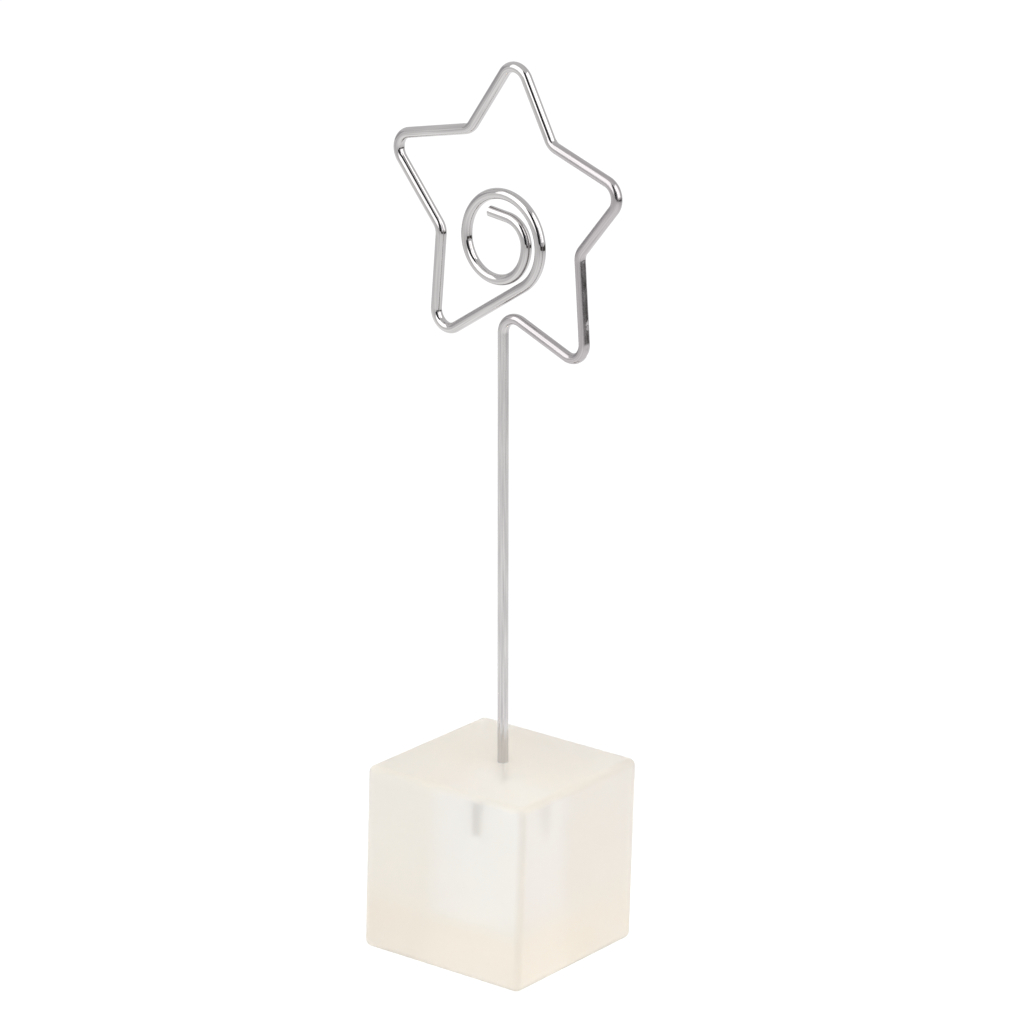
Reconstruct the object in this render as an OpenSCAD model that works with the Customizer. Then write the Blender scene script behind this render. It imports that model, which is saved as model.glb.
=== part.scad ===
// Memo clip holder: a frosted cube of cast resin that carries a wire star on a tall stem.
// The wire is one length. It stands in a blind hole in the cube, is bent into a star in one
// stroke, and ends in a flat coil inside the star, whose turns grip a card or a photograph.
// Millimetres, Z up. The origin is the middle of the cube's underside, X and Y follow its sides.

/* [Block] */
// Side of the cube
block_side = 30; // [26:1:36]
// Rounding of the cube's edges and corners
edge_r = 1.25; // [0.5:0.25:3]

/* [Socket] */
// Depth of the drilled hole, down to where the drill's point begins
socket_deep = 10; // [6:0.5:18]
// Room all round the stem in its hole, in which the stem can be turned
socket_gap = 0.05; // [0.02:0.01:0.1]
// Angle of the drill's point
drill_angle = 118; // [90:1:135]
// Lean of the hole, and of the stem in it, away from upright
stem_lean = 1.5; // [0:0.1:3]
// Way that they lean, in degrees anticlockwise from +X: 225 is towards the left front corner
lean_way = 225; // [0:1:359]

/* [Wire] */
// Diameter of the wire
wire_d = 1.7; // [1.2:0.1:2]
// Radius of a bend, at the middle of the wire
bend_r = 2.6; // [2.2:0.1:2.8]
// Height of the corner at the top of the stem, above the block
stem_h = 72.5; // [50:0.5:110]
// Turn of the star about the stem, away from the block's front face
clip_turn = -5.5; // [-180:0.5:180]

/* [Star] */
// Distance of the star's points from its middle, before the bends round them off
point_r = 25.5; // [25:0.5:30]
// Distance of the star's inner corners from its middle
notch_r = 14.5; // [13.5:0.5:16]
// Distance of the star's middle beside the stem
star_shift = 1.3; // [0:0.1:2]

/* [Coil] */
// Radius of the coil's outer turn, at the middle of the wire
coil_r = 7.4; // [6.8:0.1:8]
// Gap between the outer and the inner turn, where the paper is pushed in
paper_gap = 1.1; // [0.6:0.1:1.6]
// Radius of the coil's inner turn, at the middle of the wire
inner_r = 4; // [3:0.1:4.4]
// Angle of the inner turn, before the wire runs out straight
inner_sweep = 84; // [70:1:100]
// Length of the straight run at the coil's end
end_run = 3.7; // [1:0.1:4]
// Distance of the coil's middle below the star's
coil_drop = 4.2; // [3:0.1:5]

/* [Hidden] */
$fn = 64;

// A star of five points has its corners 36 degrees apart. The wire meets them going round
// anticlockwise, from the lower right point to the lower left one.
corner_step = 36;
first_corner = -54;
// The wire is bent by hand over pegs, so each corner misses the even star a little:
// [distance outwards, degrees anticlockwise]
corner_miss = [
    [0.3, 0],    // lower right point
    [-0.2, 4.5], // right notch
    [-1.5, 0],   // right point
    [0.3, 1.5],  // upper right notch
    [-0.3, -3],  // top point
    [0, -3],     // upper left notch
    [0.7, -1],   // left point
    [0, -1],     // left notch
    [1.4, 1]     // lower left point
];

// Neighbouring lengths of the wire lap, and every other length is a hair thinner, so that they
// meet in clean circles with a step too small to see.
lap = 0.08;
step_r = 0.005;
// How far the hole is cut past the face that it opens into
over_cut = 1;

wire_r = wire_d / 2;
thin_r = wire_r - step_r;
hole_r = wire_r + socket_gap;
// Each arc of the coil takes over where the one before it ends, at the coil's left and right sides.
lower_r = coil_r - (paper_gap + wire_d) / 2;
star_mid = [star_shift, stem_h + notch_r];
coil_mid = [0, star_mid.y - coil_drop];
lower_mid = coil_mid - [coil_r - lower_r, 0];
inner_mid = lower_mid + [lower_r - inner_r, 0];
inner_end = inner_mid + along(inner_r, inner_sweep);

star_corners = [
    for (k = [0 : len(corner_miss) - 1])
        let (even_r = k % 2 == 0 ? point_r : notch_r)
        star_mid + along(
            even_r + corner_miss[k][0],
            first_corner + k * corner_step + corner_miss[k][1]
        )
];
last_point = star_corners[len(star_corners) - 1];
// The last run leaves the lower left point on a tangent to the outer turn.
coil_reach = norm(coil_mid - last_point);
coil_start = direction(last_point, coil_mid) - asin(coil_r / coil_reach) - 90;

// Corners of the wire's middle line before they are bent round, as [across, up] in the star's
// plane, measured from where the stem leaves the block.
corners = [
    [0, -socket_deep],
    [0, stem_h],
    each star_corners,
    coil_mid + along(coil_r, coil_start)
];
last_corner = len(corners) - 1;

function along(length, angle) = length * [cos(angle), sin(angle)];
function direction(a, b) = atan2(b.y - a.y, b.x - a.x);
function heading(i) = direction(corners[i], corners[i + 1]);
function within_half_turn(angle) = angle > 180 ? angle - 360 : angle < -180 ? angle + 360 : angle;
function turn(i) = within_half_turn(heading(i) - heading(i - 1));
function is_bent(i) = i > 0 && i < last_corner;
function setback(i) = is_bent(i) ? bend_r * tan(abs(turn(i)) / 2) : 0;

// A straight length of the wire, which laps into the bends at its ends
module run(from, angle, length, lap_before = lap, lap_after = lap) {
    translate(from - along(lap_before, angle))
        rotate([0, 90, angle])
            cylinder(h = lap_before + length + lap_after, r = thin_r);
}

// A round length of the wire, swept anticlockwise
module arc(mid, radius, from, sweep, section_r = wire_r) {
    translate(mid)
        rotate(from)
            rotate_extrude(angle = sweep)
                translate([radius, 0])
                    circle(r = section_r);
}

module straight_runs() {
    for (i = [0 : last_corner - 1]) {
        from = corners[i] + along(setback(i), heading(i));
        length = norm(corners[i + 1] - corners[i]) - setback(i) - setback(i + 1);
        run(from, heading(i), length, lap_before = is_bent(i) ? lap : 0);
    }
}

module corner_bends() {
    for (i = [1 : last_corner - 1]) {
        side = sign(turn(i));
        from = corners[i] - along(setback(i), heading(i - 1));
        mid = from + along(bend_r, heading(i - 1) + side * 90);
        first = side > 0 ? heading(i - 1) - 90 : heading(i) + 90;
        arc(mid, bend_r, first, abs(turn(i)));
    }
}

module paper_coil() {
    lap_angle = lap / lower_r * 180 / PI;
    arc(coil_mid, coil_r, coil_start, 180 - coil_start);
    arc(lower_mid, lower_r, 180 - lap_angle, 180 + 2 * lap_angle, thin_r);
    arc(inner_mid, inner_r, 0, inner_sweep);
    run(inner_end, inner_sweep + 90, end_run, lap_after = 0);
}

// What stands on the block's top along the hole: it leans as the hole was drilled
module in_socket() {
    translate([0, 0, block_side])
        rotate(lean_way)
            rotate([0, stem_lean, 0])
                rotate(-lean_way)
                    children();
}

module wire_clip() {
    color("silver")
        in_socket()
            rotate([90, 0, clip_turn]) {
                straight_runs();
                corner_bends();
                paper_coil();
            }
}

// A cube with rounded edges and corners, standing on Z = 0
module rounded_cube(side, r) {
    flat = side - 2 * r;
    ends = [-flat / 2, flat / 2];
    translate([0, 0, side / 2]) {
        for (size = [[side, flat, flat], [flat, side, flat], [flat, flat, side]])
            cube(size, center = true);
        for (edge_turn = [[0, 0, 0], [90, 0, 0], [0, 90, 0]], x = ends, y = ends)
            rotate(edge_turn)
                translate([x, y, 0])
                    cylinder(h = flat, r = r, center = true);
        for (x = ends, y = ends, z = ends)
            translate([x, y, z])
                sphere(r = r);
    }
}

// The drilled hole for the stem, with its mouth at Z = 0
module stem_hole() {
    point_h = hole_r / tan(drill_angle / 2);
    translate([0, 0, -socket_deep]) {
        cylinder(h = socket_deep + over_cut, r = hole_r);
        translate([0, 0, -point_h])
            cylinder(h = point_h, r1 = 0, r2 = hole_r);
    }
}

module base_block() {
    color("ivory", 0.8)
        difference() {
            rounded_cube(block_side, edge_r);
            in_socket()
                stem_hole();
        }
}

base_block();
wire_clip();
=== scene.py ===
"""Looks of the memo clip holder: a frosted cube of cast resin that carries a star of plated wire.

Sizes of the object are in millimetres, as they are measured on it, and MM turns them into the
frame's metres.
Bearings are in degrees round the stem: 0 is in front of the cube's -Y face, 90 in front of its +X face.
"""

import math

import bmesh
import bpy
from mathutils import Matrix, Vector


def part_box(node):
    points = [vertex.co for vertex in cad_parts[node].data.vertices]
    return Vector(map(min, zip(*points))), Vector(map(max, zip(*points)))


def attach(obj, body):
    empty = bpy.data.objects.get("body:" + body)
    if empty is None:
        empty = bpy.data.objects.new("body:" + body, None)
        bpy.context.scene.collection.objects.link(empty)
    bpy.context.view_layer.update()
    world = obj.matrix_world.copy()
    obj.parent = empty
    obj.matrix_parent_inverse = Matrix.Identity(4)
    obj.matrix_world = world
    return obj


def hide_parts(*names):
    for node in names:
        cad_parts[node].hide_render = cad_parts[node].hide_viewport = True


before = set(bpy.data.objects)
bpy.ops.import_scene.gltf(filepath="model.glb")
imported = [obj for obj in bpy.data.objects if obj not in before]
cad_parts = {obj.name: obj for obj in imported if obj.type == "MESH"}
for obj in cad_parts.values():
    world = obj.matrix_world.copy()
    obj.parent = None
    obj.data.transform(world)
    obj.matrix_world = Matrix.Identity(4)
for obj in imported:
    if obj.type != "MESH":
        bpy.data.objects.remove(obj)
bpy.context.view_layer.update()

MM = 0.001

# The cube, in millimetres
EDGE_R = 1.25
EDGE_STEPS = 10
SOCKET_DEEP = 10
SOCKET_GAP = 0.05
DRILL_ANGLE = 118
DRILL_SIDES = 64
# How far the drill stands out of the cube's top while it cuts
DRILL_ABOVE = 1
# The hole was drilled a little out of upright, and the stem leans with it: degrees, and the way
# anticlockwise from +X
STEM_LEAN = 1.5
LEAN_WAY = 225

# The wire, in millimetres and degrees
WIRE_R = 0.85
BEND_R = 2.6
STEM_H = 72.5
CLIP_TURN = -5.5
POINT_R = 25.5
NOTCH_R = 14.5
STAR_SHIFT = 1.3
COIL_R = 7.4
PAPER_GAP = 1.1
INNER_R = 4
INNER_SWEEP = 84
END_RUN = 3.7
COIL_DROP = 4.2
CORNER_STEP = 36
FIRST_CORNER = -54
# How far each corner of the hand-bent star misses the even one:
# (distance outwards, degrees anticlockwise)
CORNER_MISS = [
    (0.3, 0),     # lower right point
    (-0.2, 4.5),  # right notch
    (-1.5, 0),    # right point
    (0.3, 1.5),   # upper right notch
    (-0.3, -3),   # top point
    (0, -3),      # upper left notch
    (0.7, -1),    # left point
    (0, -1),      # left notch
    (1.4, 1),     # lower left point
]

# How finely the wire is swept, in millimetres along it and in sides round it
STRAIGHT_STEP = 0.25
BEND_STEP = 0.15
WIRE_SIDES = 32
# A bend over a peg presses the wire flat on its inside and lets it spread sideways, as shares of its
# radius.
PEG_FLAT = 0.07
PEG_SPREAD = 0.03
# The cutter leaves a small bevel round the wire's end.
CUT_BEVEL = 0.07
# Marks of the pliers above the star's lower right point: millimetres along the wire, degrees round it,
# half their length and width in the same measures, depth
PLIER_MARKS = [
    (97.2, 215, 0.4, 26, 0.07),
    (98.3, 165, 0.35, 22, 0.06),
    (101.5, 195, 0.55, 34, 0.2),
]

# The plate along the wire, in millimetres from its lower end. Just above the cube it is lightened by a
# painted reflection of the cube's bright top, a share of the socket's lighter tone, which fades out
# here.
FOOT_PAINTED_REFLECTION_FADE = (15, 17.5)
FOOT_PAINTED_REFLECTION_SHARE = 0.42
# After the stem it turns darker, and at the star's top point bright.
DARKER = (78, 86)
POLISHED = (134, 142)

# The camera of the photograph, whose frame is a square of this many pixels
FRAME_PIXELS = 1024
FOCAL_PIXELS = 5150
SENSOR_MM = 36
CAMERA_BEARING = 36.08
CAMERA_RISE = 17.83
CAMERA_ROLL = 1.64
CAMERA_DEPTH = 794.2
# Where the photograph shows the middle of the cube's top
FOOT_PIXEL = (502.9, 761.4)

# How bright the surroundings are as light, in the metal and through the resin, as shares of white
ROOM_LEVELS = (0.59, 0.85, 1.25)
TABLE_LEVELS = (0.55, 1.35)
# In the metal the table fades from one level to the other, between these distances from the cube: a
# painted pool of light round it.
PAINTED_POOL_IN_METAL = (1.22, 0.88)
TABLE_FADE = (120, 450)
# The tones of the table behind the cube, which only the resin shows: a painted shade of the cube on the
# left, and the open table on the right. The one turns to the other over this stretch, in millimetres to
# the right of the stem.
TABLE_BEHIND_WITH_PAINTED_SHADE = ("#C6D2EC", "#E0EEFF")
PAINTED_SHADE_EDGE = (-8, 2)
# How much the table shines by itself in the picture, so that it comes out white round the shadow
TABLE_GLOW = 0.87
# Radius and sides of the table
TABLE_R = 6000
TABLE_SIDES = 96
# The table lies this far under the cube, so that their faces don't coincide.
TABLE_DROP = 0.2
# Height of the star's middle, which the cards surround and the lamps face
STAR_HEIGHT = 112
CARD_STEPS = 24
# Cards round the star, which its wire mirrors: name, paint, bearings from the camera's, rises, distance
STUDIO_CARDS = [
    ("gap_between_lamps", "#2E2E30", (-24, 11), (-6, 54), 600),
    ("dim_room", "#AAAAAC", (11, 31), (-6, 29), 590),
    ("table_edge", "#4A4644", (1, 122), (-12, -4), 530),
    ("grey_wall", "#CCCCCE", (-150, -95), (-12, 14), 1000),
    ("pale_wall", "#FFFFFF", (-93, -79), (-15, 5), 780),
]
# Soft lamps: name, bearing from the camera's, rise, distance, size, level
SOFT_BOXES = [
    ("left_soft_box", -55, 32, 1000, (1300, 1040), 1.45),
    ("right_soft_box", 60, 30, 1000, (1060, 1020), 1.7),
]
# The lamps that the metal mirrors stand this far in front of those that light, so that a ray meets
# them first.
IN_FRONT = 10
# A small warm lamp low on the right, in the same measures, with its tone
WARM_FILL = ("warm_fill", 80, 2, 800, (500, 300), 1.4, "#FFE6CC")

# Edges that turn by more degrees than this stay sharp.
SHARP_ANGLE = 40


def linear(code):
    """An sRGB hex colour as linear RGBA."""
    parts = [int(code[i:i + 2], 16) / 255 for i in (1, 3, 5)]
    return [p / 12.92 if p <= 0.04045 else ((p + 0.055) / 1.055) ** 2.4 for p in parts] + [1.0]


def add(tree, kind, inputs=None, **settings):
    """Adds a shader node: settings are its own, inputs are values or the sockets that feed it."""
    made = tree.nodes.new("ShaderNode" + kind)
    for name, value in settings.items():
        setattr(made, name, value)
    for name, value in (inputs or {}).items():
        if isinstance(value, bpy.types.NodeSocket):
            tree.links.new(value, made.inputs[name])
        else:
            made.inputs[name].default_value = value
    return made


def new_material(name):
    """An empty material and its node tree."""
    material = bpy.data.materials.new(name)
    material.use_nodes = True
    material.node_tree.nodes.clear()
    return material, material.node_tree


def per_mm(size_mm):
    """The scale of a pattern whose features are this big, for coordinates in metres."""
    return 1 / (size_mm * MM)


def level_by_ray(tree, path, lighting, mirrored, through):
    """How bright the surroundings are: white in the picture, else as light, in metal or in resin."""
    level = lighting
    # A ray through frosted resin counts as a glossy one too, so it comes last.
    shown = {"Is Camera Ray": 1.0, "Is Glossy Ray": mirrored, "Is Transmission Ray": through}
    for kind, share in shown.items():
        level = add(tree, "Mix", {"Factor": path[kind], "A": level, "B": share}).outputs[0]
    return level


def chrome_plated_wire():
    """Bright chrome plate over drawn steel wire.

    The fine lengthwise lines of the drawing die make the stem and the star's right side satin and a
    little cloudy. From the star's top point on the wire is polished and mirrors the room.
    """
    material, tree = new_material("chrome_plated_drawn_wire")
    straight = add(tree, "Attribute", attribute_name="before_bending").outputs["Vector"]
    from_end = add(tree, "SeparateXYZ", {0: straight}).outputs["Z"]
    darker, polished = (
        add(
            tree, "MapRange", {"Value": from_end, "From Min": start * MM, "From Max": end * MM},
            interpolation_type="SMOOTHSTEP",
        ).outputs[0]
        for start, end in (DARKER, POLISHED)
    )
    thin_plate = add(tree, "Math", {0: darker, 1: polished}, operation="SUBTRACT").outputs[0]
    # Die lines are a few hundredths of a millimetre wide, drawn at 0.16 mm here so that they show.
    stretched = add(tree, "Mapping", {"Vector": straight, "Scale": (1, 1, 0.02)}).outputs[0]
    die_lines = add(
        tree, "TexNoise", {"Vector": stretched, "Scale": per_mm(0.16), "Detail": 2}
    ).outputs[0]
    # Cloudy patches in the plate, about 2 mm long
    patch_shape = add(tree, "Mapping", {"Vector": straight, "Scale": (1, 1, 0.35)}).outputs[0]
    patches = add(
        tree, "TexNoise", {"Vector": patch_shape, "Scale": per_mm(0.7), "Detail": 3}
    ).outputs[0]
    cloud = add(tree, "MapRange", {"Value": patches, "From Min": 0.3, "From Max": 0.7}).outputs[0]
    bright = add(tree, "MapRange", {"Value": polished, "To Min": 0.14, "To Max": 0.05}).outputs[0]
    clouded = add(tree, "MapRange", {"Value": polished, "To Min": 0.22, "To Max": 0.09}).outputs[0]
    roughness = add(tree, "Mix", {"Factor": cloud, "A": bright, "B": clouded}).outputs[0]
    lined = add(tree, "MapRange", {"Value": die_lines, "From Min": 0.3, "From Max": 0.7}).outputs[0]
    drawn_plate = add(
        tree, "Mix", {0: lined, 6: linear("#AFACAD"), 7: linear("#CAC7C7")}, data_type="RGBA"
    ).outputs[2]
    plate = add(
        tree, "Mix", {0: thin_plate, 6: drawn_plate, 7: linear("#ECEAEC")},
        data_type="RGBA", blend_type="MULTIPLY",
    ).outputs[2]
    # In the socket the plate is drawn lighter. On the stem's foot a share of that tone is a painted
    # reflection of the cube's bright top.
    in_socket = add(
        tree, "Math", {0: from_end, 1: SOCKET_DEEP * MM}, operation="LESS_THAN"
    ).outputs[0]
    start, end = (place * MM for place in FOOT_PAINTED_REFLECTION_FADE)
    painted_reflection_at_foot = add(
        tree, "MapRange",
        {"Value": from_end, "From Min": start, "From Max": end, "To Min": FOOT_PAINTED_REFLECTION_SHARE, "To Max": 0},
    ).outputs[0]
    socket_tone_and_painted_reflection = add(tree, "Math", {0: in_socket, 1: painted_reflection_at_foot}, operation="MAXIMUM").outputs[0]
    tone = add(tree, "Mix", {0: socket_tone_and_painted_reflection, 6: plate, 7: linear("#E8E8E8")}, data_type="RGBA").outputs[2]
    line_strength = add(
        tree, "MapRange", {"Value": polished, "To Min": 0.36, "To Max": 0.015}
    ).outputs[0]
    grain = add(
        tree, "Bump", {"Height": die_lines, "Strength": line_strength, "Distance": 0.02 * MM}
    ).outputs[0]
    surface = add(
        tree, "BsdfPrincipled",
        {"Base Color": tone, "Metallic": 1.0, "Roughness": roughness, "Normal": grain},
    )
    add(tree, "OutputMaterial", {"Surface": surface.outputs[0]})
    return material


def frosted_cast_resin():
    """Milky cast resin with a frosted skin.

    Part of the light turns back at the skin, from outside and from inside, so the cube glows cream. The
    rest passes with a slight blur: straight through the cube shows white, and the wire as a soft streak.
    """
    material, tree = new_material("frosted_cast_resin")
    place = add(tree, "TexCoord").outputs["Object"]
    # Slow clouds of the casting, about 9 mm wide
    clouds = add(tree, "TexNoise", {"Vector": place, "Scale": per_mm(9), "Detail": 2}).outputs[0]
    tone = add(
        tree, "Mix", {0: clouds, 6: linear("#FDF9F1"), 7: linear("#FBF4E9")}, data_type="RGBA"
    ).outputs[2]
    # The etched skin is finer than 0.1 mm, drawn at 0.3 mm so that it shows.
    etch = add(tree, "TexNoise", {"Vector": place, "Scale": per_mm(0.3), "Detail": 3}).outputs[0]
    handled = add(tree, "TexNoise", {"Vector": place, "Scale": per_mm(4), "Detail": 4}).outputs[0]
    on_faces = add(
        tree, "MapRange",
        {"Value": handled, "From Min": 0.3, "From Max": 0.7, "To Min": 0.29, "To Max": 0.32},
    ).outputs[0]
    # The rounded edges are rubbed more matt. The fourth powers of the normal's parts add up to 1 on the
    # flat faces alone.
    facing = add(tree, "NewGeometry").outputs["True Normal"]
    squared = add(tree, "VectorMath", {0: facing, 1: facing}, operation="MULTIPLY").outputs[0]
    flat = add(tree, "VectorMath", {0: squared, 1: squared}, operation="DOT_PRODUCT").outputs[1]
    rubbed = add(
        tree, "MapRange", {"Value": flat, "From Min": 1.0, "From Max": 0.5, "To Min": 0.0, "To Max": 0.3}
    ).outputs[0]
    roughness = add(tree, "Math", {0: on_faces, 1: rubbed}, operation="ADD").outputs[0]
    skin = add(tree, "Bump", {"Height": etch, "Strength": 0.25, "Distance": 0.02 * MM}).outputs[0]
    surface = add(
        tree, "BsdfPrincipled",
        {
            "Base Color": tone, "Roughness": roughness, "IOR": 1.5, "Transmission Weight": 0.57,
            "Normal": skin,
        },
    )
    depth = add(tree, "VolumeAbsorption", {"Color": linear("#FCF5E9"), "Density": 8.0})
    add(tree, "OutputMaterial", {"Surface": surface.outputs[0], "Volume": depth.outputs[0]})
    return material


def close_fitting_socket():
    """The drilled wall, which lies so close on the wire that the resin shows it in full width.

    Light passes between the two without bending, so no bright film of air shows round the wire.
    """
    material, tree = new_material("socket_wall_pressed_on_wire")
    surface = add(tree, "BsdfPrincipled", {"Roughness": 0.0, "IOR": 1.0, "Transmission Weight": 1.0})
    add(tree, "OutputMaterial", {"Surface": surface.outputs[0]})
    return material


def along(length, angle):
    """A step of this length at an angle in degrees, in the star's plane."""
    return Vector((length * math.cos(math.radians(angle)), length * math.sin(math.radians(angle))))


def direction(a, b):
    """The angle in degrees at which b lies from a."""
    return math.degrees(math.atan2(b.y - a.y, b.x - a.x))


def socket_lean():
    """The turn from upright to the way that the socket was drilled."""
    way = Matrix.Rotation(math.radians(LEAN_WAY), 3, "Z")
    return way @ Matrix.Rotation(math.radians(STEM_LEAN), 3, "Y") @ way.transposed()


def wire_corners():
    """Corners of the wire's middle line, as (across, up) from the stem's foot, and the coil's start."""
    star_mid = Vector((STAR_SHIFT, STEM_H + NOTCH_R))
    coil_mid = Vector((0, star_mid.y - COIL_DROP))
    corners = [Vector((0, -SOCKET_DEEP)), Vector((0, STEM_H))]
    for k, (out, turned) in enumerate(CORNER_MISS):
        even_r = NOTCH_R if k % 2 else POINT_R
        corners.append(star_mid + along(even_r + out, FIRST_CORNER + k * CORNER_STEP + turned))
    last_point = corners[-1]
    reach = (coil_mid - last_point).length
    coil_start = direction(last_point, coil_mid) - math.degrees(math.asin(COIL_R / reach)) - 90
    corners.append(coil_mid + along(COIL_R, coil_start))
    return corners, coil_mid, coil_start


def wire_route():
    """The wire's middle line from its lower to its cut end.

    Each step is (place, heading in degrees, how far into a peg bend, side to which it bends).
    """
    route = []

    def straight(start, heading, length):
        steps = max(1, round(length / STRAIGHT_STEP))
        for i in range(1, steps + 1):
            route.append((start + along(length * i / steps, heading), heading, 0.0, 0))

    def arc(mid, radius, first, sweep, pressed):
        steps = max(2, round(abs(math.radians(sweep)) * radius / BEND_STEP))
        side = math.copysign(1, sweep)
        for i in range(1, steps + 1):
            share = i / steps
            angle = first + sweep * share
            press = math.sin(math.pi * share) if pressed else 0.0
            route.append((mid + along(radius, angle), angle + side * 90, press, side))

    corners, coil_mid, coil_start = wire_corners()
    start = corners[0]
    route.append((start, 90.0, 0.0, 0))
    for before, corner, after in zip(corners, corners[1:], corners[2:]):
        heading, next_heading = direction(before, corner), direction(corner, after)
        turn = (next_heading - heading + 180) % 360 - 180
        side = math.copysign(1, turn)
        setback = BEND_R * math.tan(math.radians(abs(turn)) / 2)
        straight(start, heading, (corner - start).length - setback)
        bend_from = corner - along(setback, heading)
        arc(bend_from + along(BEND_R, heading + side * 90), BEND_R, heading - side * 90, turn, True)
        start = corner + along(setback, next_heading)
    straight(start, direction(start, corners[-1]), (corners[-1] - start).length)
    lower_r = COIL_R - (PAPER_GAP + 2 * WIRE_R) / 2
    lower_mid = coil_mid - Vector((COIL_R - lower_r, 0))
    inner_mid = lower_mid + Vector((lower_r - INNER_R, 0))
    arc(coil_mid, COIL_R, coil_start, 180 - coil_start, False)
    arc(lower_mid, lower_r, 180, 180, False)
    arc(inner_mid, INNER_R, 0, INNER_SWEEP, False)
    straight(inner_mid + along(INNER_R, INNER_SWEEP), INNER_SWEEP + 90, END_RUN - CUT_BEVEL)
    return route


def plier_mark(length, angle):
    """How deep the pliers pressed into the wire at this place along it and round it, in millimetres."""
    depth = 0.0
    for at, way, half_length, half_width, deepest in PLIER_MARKS:
        aside = (math.degrees(angle) - way + 180) % 360 - 180
        depth += deepest * max(0.0, 1 - ((length - at) / half_length) ** 2 - (aside / half_width) ** 2)
    return depth


def bent_wire(foot_z):
    """One length of wire, swept along its route from its end in the socket to its end in the coil."""
    star_turn = Matrix.Rotation(math.radians(CLIP_TURN), 3, "Z")
    across, off_plane, up = (socket_lean() @ star_turn).transposed()
    foot = Vector((0, 0, foot_z))
    rings = [(place, heading, press, side, 1.0) for place, heading, press, side in wire_route()]
    place, heading, press, side, _ = rings[-1]
    rings.append((place + along(CUT_BEVEL, heading), heading, press, side, 1 - CUT_BEVEL / WIRE_R))
    points, unbent, length, last = [], [], 0.0, rings[0][0]
    for place, heading, press, side, share in rings:
        length += (place - last).length
        last = place
        sideways = along(1, heading + 90)
        for k in range(WIRE_SIDES):
            angle = 2 * math.pi * k / WIRE_SIDES
            inwards = math.cos(angle)
            flat = 1 - PEG_FLAT * press * max(0.0, side * inwards) ** 2
            spread = 1 + PEG_SPREAD * press
            radius = WIRE_R * share - plier_mark(length, angle)
            in_plane = place + sideways * (radius * flat * inwards)
            out = radius * spread * math.sin(angle)
            points.append(foot + (across * in_plane.x + up * in_plane.y - off_plane * out) * MM)
            unbent.append(Vector((inwards * WIRE_R, math.sin(angle) * WIRE_R, length)) * MM)
    faces = []
    for ring in range(len(rings) - 1):
        for k in range(WIRE_SIDES):
            a, b = ring * WIRE_SIDES + k, ring * WIRE_SIDES + (k + 1) % WIRE_SIDES
            faces.append((a, b, b + WIRE_SIDES, a + WIRE_SIDES))
    first_ring = list(range(WIRE_SIDES))
    faces.append(first_ring[::-1])
    faces.append([(len(rings) - 1) * WIRE_SIDES + k for k in first_ring])
    mesh = bpy.data.meshes.new("bent_wire")
    mesh.from_pydata(points, [], faces)
    before = mesh.attributes.new("before_bending", "FLOAT_VECTOR", "POINT")
    before.data.foreach_set("vector", [c for v in unbent for c in v])
    return finished_piece(mesh, "star_wire", chrome_plated_wire())


def finished_piece(mesh, name, material):
    """A shown object with one material, smooth but for its sharp edges."""
    mesh.materials.append(material)
    mesh.shade_smooth()
    mesh.set_sharp_from_angle(angle=math.radians(SHARP_ANGLE))
    piece = bpy.data.objects.new(name, mesh)
    bpy.context.scene.collection.objects.link(piece)
    return piece


def mesh_of(shape, name):
    """A mesh with the shape's faces; the shape is given up."""
    bmesh.ops.recalc_face_normals(shape, faces=shape.faces)
    mesh = bpy.data.meshes.new(name)
    shape.to_mesh(mesh)
    shape.free()
    return mesh


def cast_cube(low, high):
    """The cube with its rounded edges, drilled from the top for the stem."""
    side = high.x - low.x
    shape = bmesh.new()
    bmesh.ops.create_cube(shape, size=side)
    bmesh.ops.translate(shape, verts=shape.verts, vec=(low + high) / 2)
    bmesh.ops.bevel(
        shape, geom=shape.edges[:], offset=EDGE_R * MM, segments=EDGE_STEPS, profile=0.5, affect="EDGES"
    )
    cube = mesh_of(shape, "cast_cube")
    drill = bpy.data.objects.new("drill", drill_mesh())
    drill.data.materials.append(close_fitting_socket())
    drill.matrix_world = Matrix.Translation((0, 0, high.z)) @ socket_lean().to_4x4()
    bpy.context.scene.collection.objects.link(drill)
    piece = finished_piece(cube, "resin_cube", frosted_cast_resin())
    drilled = piece.modifiers.new("drilled", "BOOLEAN")
    drilled.object = drill
    drilled.operation = "DIFFERENCE"
    drilled.solver = "EXACT"
    drilled.material_mode = "TRANSFER"
    bpy.context.view_layer.update()
    cut = piece.evaluated_get(bpy.context.evaluated_depsgraph_get())
    piece.data = bpy.data.meshes.new_from_object(cut)
    piece.modifiers.clear()
    bpy.data.objects.remove(drill)
    even = piece.modifiers.new("even_shading", "WEIGHTED_NORMAL")
    even.keep_sharp = True
    return piece


def drill_mesh():
    """The drill that cuts the socket, a round shank with a point, with the cube's top at its zero."""
    hole_r = WIRE_R + SOCKET_GAP
    point_h = hole_r / math.tan(math.radians(DRILL_ANGLE / 2))
    shape = bmesh.new()
    rings = []
    for z in (DRILL_ABOVE, -SOCKET_DEEP):
        ring = []
        for k in range(DRILL_SIDES):
            spot = along(hole_r, 360 * k / DRILL_SIDES)
            ring.append(shape.verts.new((spot.x * MM, spot.y * MM, z * MM)))
        rings.append(ring)
    tip = shape.verts.new((0, 0, -(SOCKET_DEEP + point_h) * MM))
    shape.faces.new(rings[0])
    for k in range(DRILL_SIDES):
        after = (k + 1) % DRILL_SIDES
        shape.faces.new((rings[0][k], rings[1][k], rings[1][after], rings[0][after]))
        shape.faces.new((rings[1][k], tip, rings[1][after]))
    return mesh_of(shape, "drill")


def at_bearing(bearing, distance, height):
    """A place round the stem, from millimetres."""
    angle = math.radians(bearing)
    return Vector((distance * math.sin(angle), -distance * math.cos(angle), height)) * MM


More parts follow.
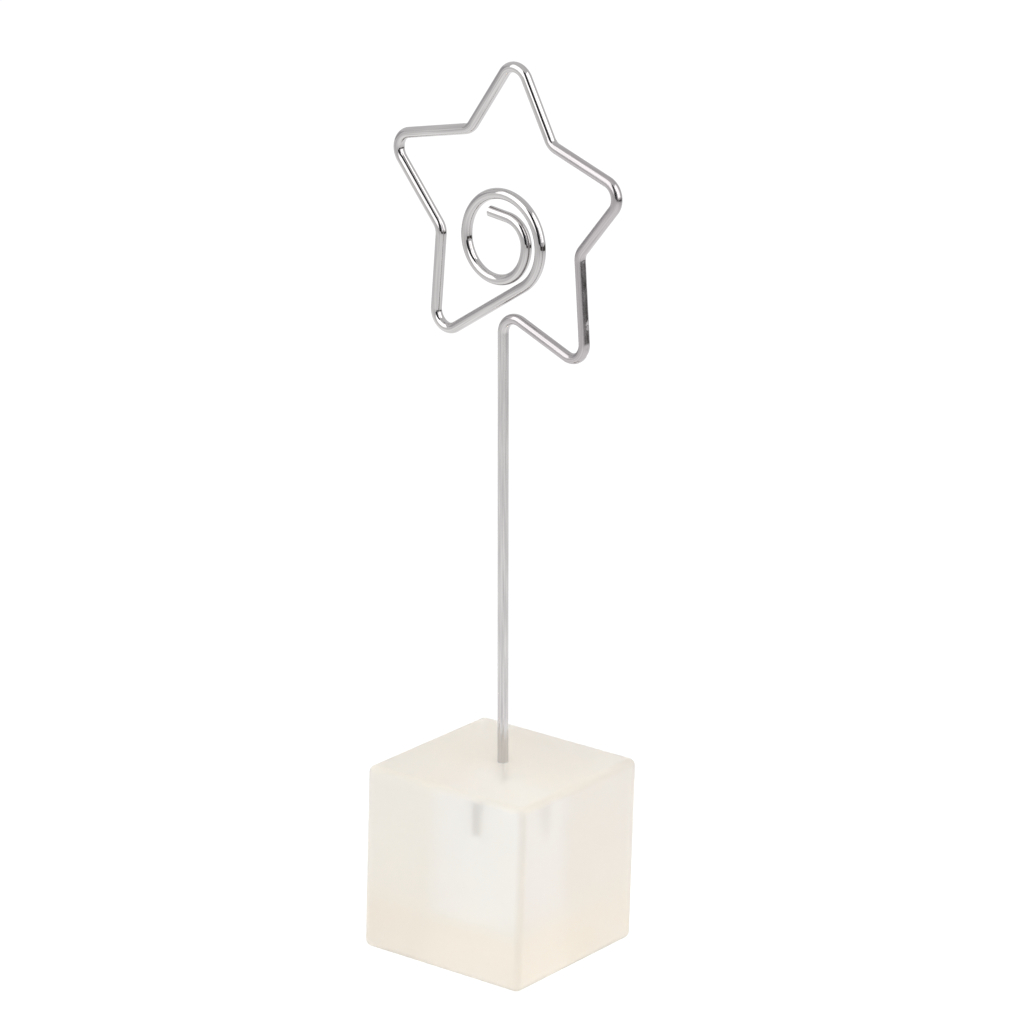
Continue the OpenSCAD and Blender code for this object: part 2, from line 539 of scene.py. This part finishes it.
def place_camera(foot):
    """The photograph's camera, set so that the stem's foot falls on its pixel."""
    bearing, rise = math.radians(CAMERA_BEARING), math.radians(CAMERA_RISE)
    back = Vector((
        math.sin(bearing) * math.cos(rise), -math.cos(bearing) * math.cos(rise), math.sin(rise)
    ))
    level = Vector((math.cos(bearing), math.sin(bearing), 0))
    right = Matrix.Rotation(math.radians(CAMERA_ROLL), 3, back) @ level
    up = back.cross(right)
    middle = FRAME_PIXELS / 2
    aside = (FOOT_PIXEL[0] - middle) / FOCAL_PIXELS
    above = (middle - FOOT_PIXEL[1]) / FOCAL_PIXELS
    lens = bpy.data.cameras.new("photo_camera")
    lens.sensor_width = SENSOR_MM
    lens.lens = FOCAL_PIXELS / FRAME_PIXELS * SENSOR_MM
    lens.clip_start = 0.01
    camera = bpy.data.objects.new("photo_camera", lens)
    camera.location = foot + (back - right * aside - up * above) * (CAMERA_DEPTH * MM)
    camera.rotation_euler = Matrix((right, up, back)).transposed().to_euler()
    bpy.context.scene.collection.objects.link(camera)
    bpy.context.scene.camera = camera


def white_floor():
    """A white table top, which keeps the object's shadow in the picture and is plain elsewhere,
    but for a painted pool of light in the metal and a painted shade of the cube through the resin.
    """
    material, tree = new_material("white_table_top")
    # How bright it is depends on the ray that meets it, so no ray is aimed at it.
    material.cycles.emission_sampling = "NONE"
    path = add(tree, "LightPath").outputs
    matt = add(tree, "BsdfDiffuse", {"Color": linear("#808080")})
    lift = add(tree, "Emission", {"Strength": TABLE_GLOW})
    lit = add(tree, "AddShader", {0: matt.outputs[0], 1: lift.outputs[0]})
    place = add(tree, "NewGeometry").outputs["Position"]
    away = add(tree, "VectorMath", {0: place}, operation="LENGTH").outputs[1]
    # In the metal the table is painted brighter near the cube, a painted pool of light that fades with
    # distance.
    near, far = (distance * MM for distance in TABLE_FADE)
    near_level, far_level = PAINTED_POOL_IN_METAL
    mirrored = add(
        tree, "MapRange",
        {"Value": away, "From Min": near, "From Max": far, "To Min": near_level, "To Max": far_level},
    ).outputs[0]
    lighting, through = TABLE_LEVELS
    level = level_by_ray(tree, path, lighting, mirrored, through)
    # Through the resin the table behind the cube is painted darker on the left, as the cube's shade, and
    # lighter on the right.
    to_right = at_bearing(CAMERA_BEARING + 90, 1 / MM, 0)
    aside = add(tree, "VectorMath", {0: place, 1: to_right}, operation="DOT_PRODUCT").outputs[1]
    left, right = (distance * MM for distance in PAINTED_SHADE_EDGE)
    turned = add(tree, "MapRange", {"Value": aside, "From Min": left, "From Max": right}).outputs[0]
    painted_shade, open_tone = (linear(tone) for tone in TABLE_BEHIND_WITH_PAINTED_SHADE)
    behind = add(tree, "Mix", {0: turned, 6: painted_shade, 7: open_tone}, data_type="RGBA").outputs[2]
    shown = add(
        tree, "Mix", {0: path["Is Transmission Ray"], 6: linear("#FFFFFF"), 7: behind}, data_type="RGBA"
    ).outputs[2]
    plain = add(tree, "Emission", {"Color": shown, "Strength": level})
    surface = add(tree, "MixShader", {0: path["Is Camera Ray"], 1: plain.outputs[0], 2: lit.outputs[0]})
    add(tree, "OutputMaterial", {"Surface": surface.outputs[0]})
    shape = bmesh.new()
    bmesh.ops.create_circle(shape, cap_ends=True, segments=TABLE_SIDES, radius=TABLE_R * MM)
    bmesh.ops.translate(shape, verts=shape.verts, vec=(0, 0, -TABLE_DROP * MM))
    floor = finished_piece(mesh_of(shape, "white_floor"), "white_floor", material)


def studio_card(name, tone, bearings, rises, distance):
    """A curved card round the star, which gives the wire its dark lines and grey sides.

    Only mirrors show it. Its bearings are counted from the camera's, and its rises are degrees above and
    below the star's middle.
    """
    material, tree = new_material(name + "_paint")
    paint = add(tree, "Emission", {"Color": linear(tone)})
    add(tree, "OutputMaterial", {"Surface": paint.outputs[0]})
    heights = [STAR_HEIGHT + distance * math.tan(math.radians(rise)) for rise in rises]
    points = []
    for i in range(CARD_STEPS + 1):
        bearing = CAMERA_BEARING + bearings[0] + (bearings[1] - bearings[0]) * i / CARD_STEPS
        points += [at_bearing(bearing, distance, max(0, height)) for height in heights]
    faces = [(2 * i, 2 * i + 1, 2 * i + 3, 2 * i + 2) for i in range(CARD_STEPS)]
    mesh = bpy.data.meshes.new(name)
    mesh.from_pydata(points, [], faces)
    mirrored_only(finished_piece(mesh, name, material))


def mirrored_only(card):
    """Keeps a card of the studio out of the picture, except where metal mirrors it."""
    card.visible_camera = False
    card.visible_diffuse = False
    card.visible_transmission = False
    card.visible_shadow = False


def soft_box(name, bearing, rise, distance, size, level, tone="#FFFFFF", mirrors=None):
    """A soft lamp that faces the star; its level is how bright it looks, as a share of white.

    It lights everything and is mirrored by nothing, or is there only for the mirrors of a collection.
    """
    lamp = bpy.data.lights.new(name, "AREA")
    lamp.shape = "RECTANGLE"
    lamp.size, lamp.size_y = (s * MM for s in size)
    lamp.energy = level * math.pi * lamp.size * lamp.size_y
    lamp.color = linear(tone)[:3]
    light = bpy.data.objects.new(name, lamp)
    aim = Vector((0, 0, STAR_HEIGHT * MM))
    out = distance * math.cos(math.radians(rise))
    high = distance * math.sin(math.radians(rise))
    light.location = aim + at_bearing(CAMERA_BEARING + bearing, out, high)
    light.rotation_euler = (light.location - aim).to_track_quat("Z", "Y").to_euler()
    light.visible_camera = False
    light.visible_transmission = False
    light.visible_glossy = mirrors is not None
    light.light_linking.receiver_collection = mirrors
    bpy.context.scene.collection.objects.link(light)


def white_room():
    """A white room that lights the object evenly."""
    world = bpy.data.worlds.new("white_room")
    bpy.context.scene.world = world
    world.use_nodes = True
    # As with the table, no ray is aimed at it.
    world.cycles.sampling_method = "NONE"
    tree = world.node_tree
    tree.nodes.clear()
    level = level_by_ray(tree, add(tree, "LightPath").outputs, *ROOM_LEVELS)
    room = add(tree, "Background", {"Color": linear("#FFFFFF"), "Strength": level})
    add(tree, "OutputWorld", {"Surface": room.outputs[0]})


bpy.context.scene.view_settings.view_transform = "Standard"
# Light turns round inside the cube many times before it comes out, and keeps its blur as it is.
light_paths = bpy.context.scene.cycles
light_paths.max_bounces = 24
light_paths.glossy_bounces = 16
light_paths.transmission_bounces = 24
light_paths.blur_glossy = 0

cube_low, cube_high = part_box("base_block")
stem_foot = Vector((0, 0, cube_high.z))

cube = cast_cube(cube_low, cube_high)
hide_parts("base_block")
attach(cube, "block")

wire = bent_wire(cube_high.z)
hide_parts("wire_clip")
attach(wire, "clip")

place_camera(stem_foot)
white_room()
white_floor()
for card in STUDIO_CARDS:
    studio_card(*card)
# Only the metal mirrors the lamps: seen from low down, their glare would wash out the cube's matt top.
metal = bpy.data.collections.new("metal")
metal.objects.link(wire)
for name, bearing, rise, distance, size, level in SOFT_BOXES:
    soft_box(name, bearing, rise, distance, size, level)
    soft_box(name + "_in_metal", bearing, rise, distance - IN_FRONT, size, level, mirrors=metal)
soft_box(*WARM_FILL)
